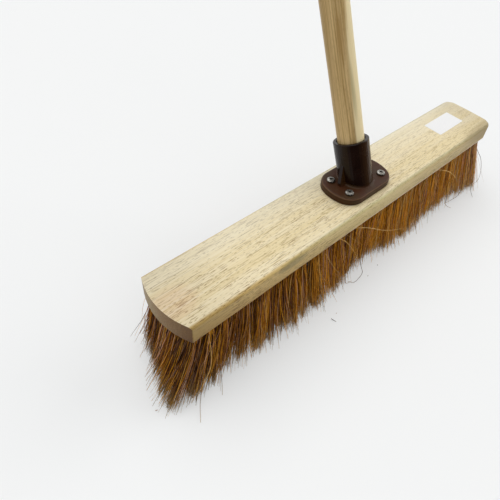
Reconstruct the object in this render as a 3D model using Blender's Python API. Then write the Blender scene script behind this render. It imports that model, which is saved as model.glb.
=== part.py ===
"""A stiff yard broom: a drilled wooden stock with coir tufts, a moulded socket bracket
screwed on top of it, and a round wooden handle that leans back out of the bracket.

The head is modelled with X along the stock, Y across it and the floor at Z = 0. The tips
of the bristles are trimmed flat on the floor. The handle leans towards +Y. At the end the
whole broom is moved so that the origin is the bottom centre of its box.
"""

import math
import random

import bmesh
import bpy
from mathutils import Matrix, Vector

for leftover in list(bpy.data.objects):
    bpy.data.objects.remove(leftover, do_unlink=True)


# Driving dimensions, in metres and radians

# The clearance that every pair of touching pieces keeps
fit_gap = 0.0003

# The stock
stock_length = 0.500
stock_width = 0.070
stock_thickness = 0.021
left_end_bow = 0.0083
left_corner_round = 0.002
right_end_bow = 0.0012
right_end_inset = 0.0035
right_corner_round = 0.012
top_edge_round = 0.004
bottom_arris = 0.0006

# The bristles
bristle_length = 0.072
end_flare = 0.028
side_flare = 0.008
flare_power = 3
spread_power = 1.5
tuft_radius = 0.005
tuft_hole_depth = 0.011
tuft_end_margin = 0.022
tuft_side_margin = 0.012
tuft_columns = 17
row_names = ("near", "middle", "far")
strands_per_tuft = 9
strand_level_shares = (0.5, 1.0)
strand_thickness_shares = (0.9, 0.55)
tip_spread_shares = (0.45, 0.80)
bend_jitter_shares = (0.85, 1.15)

# The handle
handle_radius = 0.014
handle_length = 1.370
handle_tilt = math.radians(23)
handle_top_round = 0.006
handle_foot_chamfer = 0.001
handle_foot_setback = 0.002

# The socket bracket
flange_radius = 0.0405
flange_half_width = 0.0257
flange_corner_round = 0.020
flange_thickness = 0.0073
flange_edge_round = 0.002
socket_reach = 0.050
socket_floor = 0.0025
socket_rim_wall = 0.0035
socket_foot_wall = 0.004
socket_mouth_clearance = 0.0012
socket_rim_round = 0.0006
socket_root_fillet = 0.0015
gusset_reach = 0.008
gusset_height = 0.024
gusset_thickness = 0.004
gusset_toe = 0.003
socket_fillet_share = 1 / 3

# The screws of the flange
screw_spacing_x = 0.053
screw_spacing_y = 0.0256
flange_screw_length = 0.019
flange_screw_radius = 0.0024
flange_screw_head_radius = 0.0046
flange_screw_head_height = 0.0021

# The screw that keeps the handle in its socket
handle_screw_height = 0.032
handle_screw_length = 0.014
handle_screw_radius = 0.0019
handle_screw_head_radius = 0.0036
handle_screw_head_height = 0.0018

# Proportions that every screw shares
screw_point_share = 0.25
screw_tip_share = 0.15
recess_length_share = 1.20
recess_width_share = 0.34
recess_depth_share = 0.65
head_profile_shares = ((1.0, 0.0), (1.0, 0.40), (0.94, 0.72), (0.78, 0.92), (0.50, 1.0))

# How far a cutter runs past the face that it opens
cut_overrun = 0.002

# How many flat sides stand for each round
handle_sides = 32
socket_sides = 40
screw_sides = 16
flange_arc_steps = 3
flange_corner_steps = 10
edge_round_steps = 6
flange_edge_steps = 3
stock_face_steps = 12
random_seed = 11

# The angle between two faces past which their edge is shaded sharp
sharp_edge_angle = math.radians(35)


# Sizes that follow from the driving dimensions

stock_underside = bristle_length
stock_top = stock_underside + stock_thickness
tuft_pitch_x = (stock_length - 2 * tuft_end_margin) / (tuft_columns - 1)
tuft_pitch_y = (stock_width - 2 * tuft_side_margin) / (len(row_names) - 1)
tuft_hole_radius = tuft_radius + fit_gap
flange_underside = fit_gap
flange_top = flange_underside + flange_thickness
screw_seat = flange_top + fit_gap
bore_foot_radius = handle_radius + fit_gap
bore_mouth_radius = handle_radius + socket_mouth_clearance
socket_foot_radius = bore_foot_radius + socket_foot_wall
socket_rim_radius = bore_mouth_radius + socket_rim_wall
bore_floor = (flange_underside + socket_floor + bore_foot_radius * math.sin(handle_tilt)) / math.cos(handle_tilt)
handle_foot = bore_floor + fit_gap

# The handle's axis, and the two directions square to it, in the bracket's own frame
axis_direction = Vector((0, math.sin(handle_tilt), math.cos(handle_tilt)))
axis_side = Vector((1, 0, 0))
axis_rear = Vector((0, math.cos(handle_tilt), -math.sin(handle_tilt)))
axis_foot = Vector((0, -handle_foot_setback, 0))


# Materials: colour, roughness and metallic value of each real surface

def make_material(name, color, roughness, metallic=0.0):
    material = bpy.data.materials.new(name)
    material.use_nodes = True
    shader = material.node_tree.nodes["Principled BSDF"]
    shader.inputs["Base Color"].default_value = (*color, 1.0)
    shader.inputs["Roughness"].default_value = roughness
    shader.inputs["Metallic"].default_value = metallic
    return material


pale_hardwood = make_material("pale_hardwood", (0.66, 0.56, 0.36), 0.55)
handle_wood = make_material("handle_wood", (0.62, 0.50, 0.33), 0.5)
brown_plastic = make_material("brown_plastic", (0.055, 0.027, 0.020), 0.38)
zinc_steel = make_material("zinc_steel", (0.62, 0.62, 0.60), 0.3, 1.0)
coir_fibre = make_material("coir_fibre", (0.24, 0.11, 0.032), 0.75)


# Building closed bodies

def make_object(name, bm, material=None):
    """Turn a finished bmesh into an object with outward, smooth-shaded faces."""
    bmesh.ops.recalc_face_normals(bm, faces=bm.faces)
    mesh = bpy.data.meshes.new(name)
    bm.to_mesh(mesh)
    bm.free()
    obj = bpy.data.objects.new(name, mesh)
    bpy.context.scene.collection.objects.link(obj)
    if material:
        finish(obj, material)
    return obj


def finish(obj, material):
    """Give an object its one material, and smooth shading with sharp edges kept."""
    obj.data.materials.clear()
    obj.data.materials.append(material)
    obj.data.shade_smooth()
    obj.data.set_sharp_from_angle(angle=sharp_edge_angle)


def loft(name, rings, material=None):
    """Join rings of equally many points into one closed body, with a flat cap at each end."""
    bm = bmesh.new()
    levels = [[bm.verts.new(point) for point in ring] for ring in rings]
    count = len(levels[0])
    for lower, upper in zip(levels, levels[1:]):
        for i in range(count):
            j = (i + 1) % count
            bm.faces.new((lower[i], lower[j], upper[j], upper[i]))
    bm.faces.new(list(reversed(levels[0])))
    bm.faces.new(levels[-1])
    return make_object(name, bm, material)


def circle(radius, height, sides, centre=(0, 0)):
    """The points of a level ring."""
    angles = [2 * math.pi * i / sides for i in range(sides)]
    return [
        Vector((centre[0] + radius * math.cos(a), centre[1] + radius * math.sin(a), height))
        for a in angles
    ]


def carve(obj, other, operation="DIFFERENCE"):
    """Apply one exact Boolean to obj and remove the other object."""
    modifier = obj.modifiers.new(operation.lower(), "BOOLEAN")
    modifier.operation = operation
    modifier.solver = "EXACT"
    modifier.object = other
    depsgraph = bpy.context.evaluated_depsgraph_get()
    result = bpy.data.meshes.new_from_object(obj.evaluated_get(depsgraph))
    obj.modifiers.clear()
    obj.data = result
    bpy.data.objects.remove(other, do_unlink=True)


def join_bodies(name, bodies):
    """Put separate cutters into one object, so that one Boolean makes all the cuts."""
    bm = bmesh.new()
    for body in bodies:
        copy = body.data.copy()
        copy.transform(body.matrix_basis)
        bm.from_mesh(copy)
        bpy.data.objects.remove(body, do_unlink=True)
    return make_object(name, bm)


# Shared places

def tuft_places():
    """The column, row and root centre of every tuft on the stock's underside."""
    places = []
    for row in range(len(row_names)):
        for column in range(tuft_columns):
            x = (column - (tuft_columns - 1) / 2) * tuft_pitch_x
            y = (row - (len(row_names) - 1) / 2) * tuft_pitch_y
            places.append((column, row, x, y))
    return places


def screw_places():
    """The four screw centres of the flange, front pair first."""
    return [
        (side_x * screw_spacing_x / 2, side_y * screw_spacing_y / 2)
        for side_y in (-1, 1)
        for side_x in (-1, 1)
    ]


# The stock

def end_reach(y, reach, bow, corner_round, inset=0):
    """How far a bowed end reaches along X at a place across the stock.

    The bow and its two corners are arcs, so an outline that lies inside the end's own by
    an inset keeps their centres and has its radii shortened by the inset.
    """
    half_width = stock_width / 2
    bow_radius = (half_width ** 2 + bow ** 2) / (2 * bow)
    bow_centre = reach - bow_radius
    corner_y = half_width - corner_round
    corner_x = bow_centre + math.sqrt((bow_radius - corner_round) ** 2 - corner_y ** 2)
    tangent_y = corner_y * (bow_radius - inset) / (bow_radius - corner_round)
    if abs(y) <= tangent_y:
        return bow_centre + math.sqrt((bow_radius - inset) ** 2 - y ** 2)
    across = abs(y) - corner_y
    return corner_x + math.sqrt(max((corner_round - inset) ** 2 - across ** 2, 0))


def edge_levels():
    """The steps of the rounded top edge: how far each lies inside the outline, and its height."""
    levels = []
    for step in range(edge_round_steps + 1):
        angle = math.pi / 2 * step / edge_round_steps
        inset = top_edge_round * (1 - math.cos(angle))
        height = stock_thickness - top_edge_round * (1 - math.sin(angle))
        levels.append((inset, height))
    return levels


def stock_section():
    """Points across the stock: place across it, height of the underside, steps up its edge."""
    half_width = stock_width / 2
    section = [
        (half_width - inset, bottom_arris if step == 0 else 0, step)
        for step, (inset, height) in enumerate(edge_levels())
    ]
    inner = half_width - top_edge_round
    middle = [
        (inner * (1 - 2 * step / stock_face_steps), 0, edge_round_steps)
        for step in range(1, stock_face_steps)
    ]
    mirrored = [(-y, low, steps) for y, low, steps in reversed(section)]
    return section + middle + mirrored


def make_stock():
    """Slices across the stock, joined side by side.

    The left end is cut square to the top. The right end carries the same rounded edge as
    the long sides, so a slice that lies in the side's own rounding climbs fewer of its
    steps, and repeats its last point for the rest of them.
    """
    left_reach = stock_length / 2
    right_reach = left_reach - right_end_inset
    levels = edge_levels()
    bm = bmesh.new()
    slices = []
    for y, low, steps in stock_section():
        left = -end_reach(y, left_reach, left_end_bow, left_corner_round)
        right = end_reach(y, right_reach, right_end_bow, right_corner_round)
        climb = []
        for inset, height in levels[:steps + 1]:
            x = end_reach(y, right_reach, right_end_bow, right_corner_round, inset)
            climb.append(bm.verts.new((x, y, height)))
        climb += [climb[-1]] * (edge_round_steps - steps)
        underside = [bm.verts.new((x, y, low)) for x in (left, right)]
        slices.append(underside + climb + [bm.verts.new((left, y, levels[steps][1]))])
    for this, following in zip(slices, slices[1:]):
        for i in range(len(this)):
            j = (i + 1) % len(this)
            corners = list(dict.fromkeys((this[i], this[j], following[j], following[i])))
            if len(corners) > 2:
                bm.faces.new(corners)
    bm.faces.new(list(dict.fromkeys(slices[0])))
    bm.faces.new(list(dict.fromkeys(slices[-1])))
    stock = make_object("stock", bm)

    cutters = []
    for column, row, x, y in tuft_places():
        rings = [
            circle(tuft_hole_radius, -cut_overrun, strands_per_tuft, (x, y)),
            circle(tuft_hole_radius, tuft_hole_depth, strands_per_tuft, (x, y)),
        ]
        cutters.append(loft("tuft_hole", rings))
    pilot_radius = flange_screw_radius + fit_gap
    pilot_floor = stock_thickness + screw_seat - flange_screw_length - fit_gap
    for x, y in screw_places():
        rings = [
            circle(pilot_radius, pilot_floor, screw_sides, (x, y)),
            circle(pilot_radius, stock_thickness + cut_overrun, screw_sides, (x, y)),
        ]
        cutters.append(loft("pilot_hole", rings))
    carve(stock, join_bodies("stock_holes", cutters))
    finish(stock, pale_hardwood)
    stock.location.z = stock_underside
    return stock


# The tufts

def flared(value, reach, flare):
    """Where a place on the stock's underside moves to at the tips, by the flare."""
    return value + flare * (value / reach) ** flare_power


def cell_limits(value, pitch, count, flare):
    """The tips' share of the floor for a tuft: its two limits along one direction."""
    reach = pitch * count / 2
    return (
        flared(value - pitch / 2, reach, flare),
        flared(value + pitch / 2, reach, flare),
    )


def reach_in_cell(centre, direction, limits_x, limits_y):
    """The distance from the cell's centre to its limits in one direction."""
    distances = []
    for part, (low, high), start in (
        (direction.x, limits_x, centre.x),
        (direction.y, limits_y, centre.y),
    ):
        if part > 0:
            distances.append((high - start) / part)
        elif part < 0:
            distances.append((low - start) / part)
    return min(distances)


def make_tuft(name, x, y, source):
    """One bundle of fibre: a plug that sits in the stock and strands that spread below it.

    Each strand keeps to its own sector of the tuft, and each tuft to its own cell of the
    floor, so no strand crosses another.
    """
    count = strands_per_tuft
    limits_x = cell_limits(x, tuft_pitch_x, tuft_columns, end_flare)
    limits_y = cell_limits(y, tuft_pitch_y, len(row_names), side_flare)
    tip_centre = Vector((
        flared(x, tuft_pitch_x * tuft_columns / 2, end_flare),
        flared(y, tuft_pitch_y * len(row_names) / 2, side_flare),
    ))
    lean = tip_centre - Vector((x, y))

    bm = bmesh.new()
    plug_top = [bm.verts.new(p) for p in circle(tuft_radius, tuft_hole_depth - fit_gap, count)]
    root_points = circle(tuft_radius, 0, count)
    root_ring = [bm.verts.new(p) for p in root_points]
    root_centre = bm.verts.new((0, 0, 0))
    bm.faces.new(plug_top)
    for i in range(count):
        j = (i + 1) % count
        bm.faces.new((root_ring[i], root_ring[j], plug_top[j], plug_top[i]))

        corners = [Vector((0, 0)), root_points[i].to_2d(), root_points[j].to_2d()]
        middle = (corners[0] + corners[1] + corners[2]) / 3
        direction = middle.normalized()
        reach = reach_in_cell(tip_centre, direction, limits_x, limits_y)
        tip_offset = direction * reach * source.uniform(*tip_spread_shares)
        bend = source.uniform(*bend_jitter_shares)
        ring = [root_centre, root_ring[i], root_ring[j]]
        for level, thickness in zip(strand_level_shares, strand_thickness_shares):
            spread = level ** spread_power
            own_spread = min(spread * bend, 1) if level < 1 else 1
            offset = lean * spread + middle.lerp(tip_offset, own_spread)
            height = -bristle_length * level
            following = []
            for corner in corners:
                place = offset + (corner - middle) * thickness
                following.append(bm.verts.new((place.x, place.y, height)))
            for k in range(3):
                m = (k + 1) % 3
                bm.faces.new((ring[k], ring[m], following[m], following[k]))
            ring = following
        bm.faces.new(ring)
    bmesh.ops.triangulate(bm, faces=bm.faces)
    tuft = make_object(name, bm, coir_fibre)
    tuft.location = (x, y, stock_underside)
    return tuft


def make_tufts():
    source = random.Random(random_seed)
    tufts = []
    for column, row, x, y in tuft_places():
        name = f"tuft_{row_names[row]}_{column + 1:02d}"
        tufts.append(make_tuft(name, x, y, source))
    return tufts


# The socket bracket, in its own frame: the stock's top is Z = 0

def flange_ring(inset, height):
    """The flange's outline: a circle with two flats along the stock and rounded corners."""
    radius = flange_radius - inset
    half_width = flange_half_width - inset
    corner_round = flange_corner_round - inset
    corner_y = half_width - corner_round
    corner_x = math.sqrt((radius - corner_round) ** 2 - corner_y ** 2)
    turn = math.atan2(corner_y, corner_x)
    quarter = []
    for step in range(flange_arc_steps + 1):
        angle = turn * step / flange_arc_steps
        quarter.append((radius * math.cos(angle), radius * math.sin(angle)))
    for step in range(1, flange_corner_steps + 1):
        angle = turn + (math.pi / 2 - turn) * step / flange_corner_steps
        x = corner_x + corner_round * math.cos(angle)
        y = corner_y + corner_round * math.sin(angle)
        quarter.append((x, y))
    half = quarter + [(-x, y) for x, y in reversed(quarter)]
    outline = half + [(x, -y) for x, y in reversed(half[1:-1])]
    return [Vector((x, y, height)) for x, y in outline]


def make_flange():
    rings = [flange_ring(0, flange_underside)]
    for step in range(flange_edge_steps + 1):
        angle = math.pi / 2 * step / flange_edge_steps
        inset = flange_edge_round * (1 - math.cos(angle))
        height = flange_top - flange_edge_round * (1 - math.sin(angle))
        rings.append(flange_ring(inset, height))
    return loft("socket_bracket", rings)


def axis_point(radius, angle, distance):
    """A point at a distance along the handle's axis and a radius and angle round it."""
    out = axis_side * math.cos(angle) + axis_rear * math.sin(angle)
    return axis_foot + axis_direction * distance + out * radius


def square_ring(radius, distance):
    """A ring square to the handle's axis."""
    angles = [2 * math.pi * i / socket_sides for i in range(socket_sides)]
    return [axis_point(radius, a, distance) for a in angles]


def level_ring(radius, height):
    """A ring where a leaning tube of this radius is cut level at a height."""
    points = []
    for i in range(socket_sides):
        angle = 2 * math.pi * i / socket_sides
        drop = radius * math.sin(angle) * math.sin(handle_tilt)
        points.append(axis_point(radius, angle, (height + drop) / math.cos(handle_tilt)))
    return points


def make_socket_tube():
    """The leaning tube, solid, from inside the flange to its rim."""
    fillet_step = socket_root_fillet * socket_fillet_share
    rings = [
        level_ring(socket_foot_radius + socket_root_fillet, (flange_underside + flange_top) / 2),
        level_ring(socket_foot_radius + socket_root_fillet, flange_top),
        level_ring(socket_foot_radius + fillet_step, flange_top + fillet_step),
        level_ring(socket_foot_radius, flange_top + socket_root_fillet),
        square_ring(socket_rim_radius, socket_reach - socket_rim_round),
        square_ring(socket_rim_radius - socket_rim_round, socket_reach),
    ]
    return loft("socket_tube", rings)


def make_gusset(side):
    """A small web between the tube's flank and the flange, leaning with the tube."""
    foot = (flange_underside + flange_top) / 2 / math.cos(handle_tilt)
    shoulder = flange_top / math.cos(handle_tilt)
    inner = bore_foot_radius + socket_foot_wall / 2
    outer = socket_foot_radius + gusset_reach
    outline = [
        (inner, foot),
        (outer, foot),
        (outer, shoulder + gusset_toe),
        (inner, shoulder + gusset_height),
    ]
    rings = []
    for half in (-gusset_thickness / 2, gusset_thickness / 2):
        rings.append([
            axis_foot + axis_side * side * x + axis_direction * along + axis_rear * half
            for x, along in outline
        ])
    return loft("gusset", rings)


def make_socket_bracket():
    bracket = make_flange()
    carve(bracket, make_socket_tube(), "UNION")
    for side in (-1, 1):
        carve(bracket, make_gusset(side), "UNION")
    cutters = [loft("bore", [
        square_ring(bore_foot_radius, bore_floor),
        square_ring(bore_mouth_radius, socket_reach + fit_gap),
        square_ring(bore_mouth_radius, socket_reach + cut_overrun),
    ])]
    for x, y in screw_places():
        cutters.append(loft("screw_hole", [
            circle(flange_screw_radius + fit_gap, flange_underside - cut_overrun, screw_sides, (x, y)),
            circle(flange_screw_radius + fit_gap, flange_top + cut_overrun, screw_sides, (x, y)),
        ]))
    cutters.append(handle_screw_cutter())
    for cutter in cutters:
        carve(bracket, cutter)
    finish(bracket, brown_plastic)
    bracket.location.z = stock_top
    return bracket


# The screws, each with its head's seat at Z = 0 and its point below

def make_screw(name, radius, length, head_radius, head_height):
    point = length * screw_point_share
    rings = [
        circle(radius * screw_tip_share, -length, screw_sides),
        circle(radius, point - length, screw_sides),
        circle(radius, 0, screw_sides),
    ]
    for radius_share, height_share in head_profile_shares:
        rings.append(circle(head_radius * radius_share, head_height * height_share, screw_sides))
    screw = loft(name, rings)
    arm = head_radius * recess_length_share / 2
    half_width = head_radius * recess_width_share / 2
    floor = head_height * (1 - recess_depth_share)
    rings = []
    for height, share in ((floor, recess_length_share / 2), (head_height + cut_overrun, 1)):
        a = arm * share
        w = half_width
        cross = ((a, w), (w, w), (w, a), (-w, a), (-w, w), (-a, w))
        cross += tuple((-x, -y) for x, y in cross)
        rings.append([Vector((x, y, height)) for x, y in cross])
    carve(screw, loft("cross_recess", rings))
    finish(screw, zinc_steel)
    return screw


def make_flange_screws():
    screws = []
    for number, (x, y) in enumerate(screw_places(), 1):
        screw = make_screw(
            f"flange_screw_{number}",
            flange_screw_radius,
            flange_screw_length,
            flange_screw_head_radius,
            flange_screw_head_height,
        )
        screw.location = (x, y, stock_top + screw_seat)
        screws.append(screw)
    return screws


def handle_screw_seat():
    """Where the handle screw's head meets the rear of the tube, and the tube's radius there."""
    share = handle_screw_height / socket_reach
    radius = socket_foot_radius + (socket_rim_radius - socket_foot_radius) * share
    return axis_point(radius + fit_gap, math.pi / 2, handle_screw_height)


def handle_screw_cutter():
    """The hole of the handle screw, from outside the tube into the handle."""
    cutter = loft("handle_screw_hole", [
        circle(handle_screw_radius + fit_gap, -handle_screw_length - fit_gap, screw_sides),
        circle(handle_screw_radius + fit_gap, cut_overrun, screw_sides),
    ])
    turn = axis_rear.to_track_quat("Z", "X").to_matrix().to_4x4()
    cutter.data.transform(Matrix.Translation(handle_screw_seat()) @ turn)
    return cutter


def make_handle_screw():
    screw = make_screw(
        "handle_screw",
        handle_screw_radius,
        handle_screw_length,
        handle_screw_head_radius,
        handle_screw_head_height,
    )
    screw.rotation_mode = "QUATERNION"
    screw.rotation_quaternion = axis_rear.to_track_quat("Z", "X")
    screw.location = handle_screw_seat() + Vector((0, 0, stock_top))
    return screw


# The handle, whose own Z runs along its axis from its foot

def make_handle():
    rings = [
        circle(handle_radius - handle_foot_chamfer, 0, handle_sides),
        circle(handle_radius, handle_foot_chamfer, handle_sides),
    ]
    for step in range(edge_round_steps + 1):
        angle = math.pi / 2 * step / edge_round_steps
        radius = handle_radius - handle_top_round * (1 - math.cos(angle))
        height = handle_length - handle_top_round * (1 - math.sin(angle))
        rings.append(circle(radius, height, handle_sides))
    handle = loft("handle", rings)
    handle.rotation_euler.x = -handle_tilt
    handle.location = axis_foot + axis_direction * handle_foot
    bpy.context.view_layer.update()
    carve(handle, handle_screw_cutter())
    finish(handle, handle_wood)
    handle.location.z += stock_top
    return handle


# The whole broom, moved so that its origin is the bottom centre of its box

def main():
    pieces = [make_stock(), make_socket_bracket(), make_handle(), make_handle_screw()]
    pieces += make_flange_screws()
    pieces += make_tufts()

    bpy.context.view_layer.update()
    corners = [p.matrix_world @ v.co for p in pieces for v in p.data.vertices]
    low = Vector(min(c[i] for c in corners) for i in range(3))
    high = Vector(max(c[i] for c in corners) for i in range(3))
    broom = bpy.data.objects.new("broom", None)
    bpy.context.scene.collection.objects.link(broom)
    for piece in pieces:
        piece.parent = broom
    broom.location = (-(low.x + high.x) / 2, -(low.y + high.y) / 2, -low.z)
    bpy.context.view_layer.update()
    print("moved by", [round(value, 6) for value in broom.location])
    print("box", [round(value, 4) for value in high - low])


main()
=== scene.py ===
# %% [markdown]
# # A stiff yard broom
#
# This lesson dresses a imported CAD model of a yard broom: a pale wooden stock with coir
# bristles below it, a brown moulded socket screwed on top, and a round wooden handle.
# The CAD solids have the right sizes but flat colours, and their tufts are coarse
# stand-ins. Here each solid gets the finish of its real material, and every tuft is
# replaced by bundles of separate fibres.

# %% Load the frame
import math
import random

import bpy
from mathutils import Matrix, Vector


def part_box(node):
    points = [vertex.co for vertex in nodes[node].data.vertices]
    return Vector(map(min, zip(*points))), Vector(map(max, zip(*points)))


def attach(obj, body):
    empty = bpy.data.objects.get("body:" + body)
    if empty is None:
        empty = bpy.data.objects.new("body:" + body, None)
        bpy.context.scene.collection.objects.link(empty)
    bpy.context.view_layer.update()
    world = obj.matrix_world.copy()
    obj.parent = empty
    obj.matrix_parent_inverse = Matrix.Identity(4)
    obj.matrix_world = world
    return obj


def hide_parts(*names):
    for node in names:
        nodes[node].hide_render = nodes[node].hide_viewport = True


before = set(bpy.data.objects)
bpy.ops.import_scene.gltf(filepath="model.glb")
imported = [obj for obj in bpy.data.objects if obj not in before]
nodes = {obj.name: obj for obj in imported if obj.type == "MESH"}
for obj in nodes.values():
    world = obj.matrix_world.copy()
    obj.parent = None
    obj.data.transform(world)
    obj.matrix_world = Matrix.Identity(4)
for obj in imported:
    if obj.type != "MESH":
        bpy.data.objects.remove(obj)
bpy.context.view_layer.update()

print("CAD nodes:", len(nodes))

# %% [markdown]
# Everything is placed from a few sizes. The stock's box gives the height where the
# bristles start. Its right end is cut a little shorter than the left one, so the middle
# of the head is taken from the bracket, and the full length from the left half. The
# handle leans back, so its own axis is kept too: its wood grain has to run along that
# axis and not straight up. A box gives neither this lean nor the thickness of the
# flange, so these two are copied from the CAD.

# %% Sizes that the scene needs
stock_low, stock_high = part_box("stock")
bracket_low, bracket_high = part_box("socket_bracket")
head_centre = Vector(((bracket_low.x + bracket_high.x) / 2, (stock_low.y + stock_high.y) / 2, 0))
stock_length = 2 * (head_centre.x - stock_low.x)
stock_width = stock_high.y - stock_low.y
stock_underside = stock_low.z
stock_top = stock_high.z
handle_tilt = math.radians(23)
flange_thickness = 0.0073
print("stock, mm:", [round(1000 * size, 1) for size in stock_high - stock_low])
print("underside and top, mm:", round(1000 * stock_underside, 1), round(1000 * stock_top, 1))

# %% [markdown]
# Colours are easiest to choose as the hex codes of a screen colour, which are sRGB.
# Blender's shaders compute with linear light, so one function turns a code to linear.
#
# Two more small functions save most of the typing in the node trees. An input is given
# a plain value, an output socket, or a whole node, which then links its first output.
# Some nodes hide sockets that their settings don't use, so a name is looked up only
# among those that are switched on.
#
# The other helpers start a material, fill a colour ramp, turn sizes in millimetres to
# the scale of a texture, and put a material on a solid.

# %% Colour and node helpers
def linear(code):
    """The linear RGBA colour of an sRGB hex code such as D8C49C."""
    channels = [int(code[i:i + 2], 16) / 255 for i in (0, 2, 4)]
    return (*[c / 12.92 if c <= 0.04045 else ((c + 0.055) / 1.055) ** 2.4 for c in channels], 1)


def set_inputs(tree, node, inputs):
    """Give inputs, called by name or by number, a value or a link."""
    for key, value in inputs.items():
        switched_on = [socket for socket in node.inputs if socket.enabled]
        if isinstance(key, int):
            socket = switched_on[key]
        else:
            socket = next(socket for socket in switched_on if socket.name == key)
        if isinstance(value, bpy.types.Node):
            value = next(output for output in value.outputs if output.enabled)
        if isinstance(value, bpy.types.NodeSocket):
            tree.links.new(value, socket)
        else:
            socket.default_value = value


def add_node(tree, kind, inputs=None, **settings):
    """Add a shader node with its settings and links."""
    made = tree.nodes.new("ShaderNode" + kind)
    for name, value in settings.items():
        setattr(made, name, value)
    set_inputs(tree, made, inputs or {})
    return made


def new_material(name):
    """An empty node material, its tree and its Principled shader."""
    material = bpy.data.materials.new(name)
    material.use_nodes = True
    return material, material.node_tree, material.node_tree.nodes["Principled BSDF"]


def set_ramp(ramp, stops):
    """Give a colour ramp its stops, as pairs of a position and a hex code."""
    elements = ramp.color_ramp.elements
    elements[0].position, elements[1].position = stops[0][0], stops[-1][0]
    elements[0].color, elements[1].color = linear(stops[0][1]), linear(stops[-1][1])
    for position, code in stops[1:-1]:
        elements.new(position).color = linear(code)


def per_metre(millimetres):
    """How many features of this size fit in a metre, which is a texture's scale."""
    return 1000 / millimetres


def stretch(length, width):
    """A texture's scale along and across the grain, from sizes in millimetres."""
    return per_metre(length), per_metre(width), per_metre(width)


def wear(node_name, material):
    """Put one material on a CAD solid in place of its flat colour."""
    nodes[node_name].data.materials.clear()
    nodes[node_name].data.materials.append(material)


# %% [markdown]
# ## Camera
#
# The camera looks down on the head from the front left, close and rather wide, so that
# the near end of the stock is much larger than the far end. Its place was found by
# matching the edges of the stock, the handle and the bracket. The picture was cropped
# out of a larger one, which a small sideways shift of the lens repeats.

# %% Camera
camera_place = Vector((-0.36024, -0.46743, 0.42049))
camera_turn = math.radians(-51.98)
camera_height_angle = math.radians(46.82)
camera_roll = math.radians(9.29)

camera_data = bpy.data.cameras.new("camera")
camera_data.sensor_width = 36
camera_data.lens = 34.904
camera_data.shift_x = -0.089
camera_data.shift_y = -0.0078
camera_data.clip_start = 0.01
camera = bpy.data.objects.new("camera", camera_data)
bpy.context.scene.collection.objects.link(camera)

back = Vector((
    math.sin(camera_turn) * math.cos(camera_height_angle),
    -math.cos(camera_turn) * math.cos(camera_height_angle),
    math.sin(camera_height_angle),
))
level_right = Vector((math.cos(camera_turn), math.sin(camera_turn), 0))
upward = back.cross(level_right)
right = level_right * math.cos(camera_roll) + upward * math.sin(camera_roll)
up = upward * math.cos(camera_roll) - level_right * math.sin(camera_roll)
turn = Matrix((right, up, back)).transposed().to_4x4()
camera.matrix_world = Matrix.Translation(camera_place) @ turn
bpy.context.scene.camera = camera
print("camera to head, m:", round((camera_place - head_centre).length, 3))

# %% [markdown]
# ## Floor and light
#
# The broom stands on a white studio sweep. One very large square does for it, because
# its rim is never near.

# %% Floor sheet
floor_half = 30.0
floor_mesh = bpy.data.meshes.new("floor")
floor_corners = [(x, y, 0) for x, y in ((-1, -1), (1, -1), (1, 1), (-1, 1))]
floor_mesh.from_pydata([Vector(c) * floor_half for c in floor_corners], [], [(0, 1, 2, 3)])
floor = bpy.data.objects.new("floor", floor_mesh)
bpy.context.scene.collection.objects.link(floor)
print("floor, m:", 2 * floor_half, "square")

# %% [markdown]
# The sheet glows a little, as a lit sheet does, so the shadows on it stay shallow. The
# glow is only for the camera and for reflections. To all other light the floor is a
# plain grey sheet, because the sides of the real head are rather dark and get little
# light from below.
#
# The sheet ends half a metre in front of the broom, and the room beyond is dark. Only
# reflections show that, so that the front of the socket can be nearly black.

# %% Floor finish
floor_sheet_seen, floor_sheet_bounced = linear("C4C4C4"), linear("A8A8A8")
floor_glow, floor_glow_colour = 0.34, linear("FCFFFF")
room_side, room_floor = Vector((-0.17, -0.985, 0.0)), linear("303030")
sheet_end, sheet_fade = 0.45, 0.15

floor_material, tree, shader = new_material("studio_sheet")
coordinates = add_node(tree, "TexCoord")
towards_room = add_node(
    tree, "VectorMath", {0: coordinates.outputs["Object"], 1: room_side}, operation="DOT_PRODUCT",
)
beyond = add_node(
    tree, "MapRange",
    {"Value": towards_room, "From Min": sheet_end, "From Max": sheet_end + sheet_fade},
    interpolation_type="SMOOTHSTEP",
)
ray = add_node(tree, "LightPath")
room = add_node(tree, "Math", {0: beyond, 1: ray.outputs["Is Glossy Ray"]}, operation="MULTIPLY")
seen = add_node(
    tree, "Math",
    {0: ray.outputs["Is Camera Ray"], 1: ray.outputs["Is Glossy Ray"]}, operation="MAXIMUM",
)
sheet = add_node(
    tree, "Mix",
    {"Factor": seen, "A": floor_sheet_bounced, "B": floor_sheet_seen}, data_type="RGBA",
)
sheet = add_node(tree, "Mix", {"Factor": room, "A": sheet, "B": room_floor}, data_type="RGBA")
lit = add_node(tree, "Math", {0: seen, 1: room}, operation="SUBTRACT")
glow = add_node(tree, "Math", {0: lit, 1: floor_glow}, operation="MULTIPLY")
set_inputs(tree, shader, {
    "Base Color": sheet, "Emission Color": floor_glow_colour, "Emission Strength": glow,
    "Roughness": 0.9, "Specular IOR Level": 0.0,
})
floor_mesh.materials.append(floor_material)
print("nodes in the finish of the floor:", len(tree.nodes))

# %% [markdown]
# An even sky fills the shade. Glossy surfaces also need something to mirror. They see
# white walls at the left and behind, and the dark room in front and at the right. So
# the left flank of the socket shines, and its front stays nearly black.

# %% World
sky_strength, sky_colour = 0.42, linear("F2F2F2")
white_wall, dark_wall = 1.0, 0.08
white_wall_end, dark_wall_start = -0.45, -0.1

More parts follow.
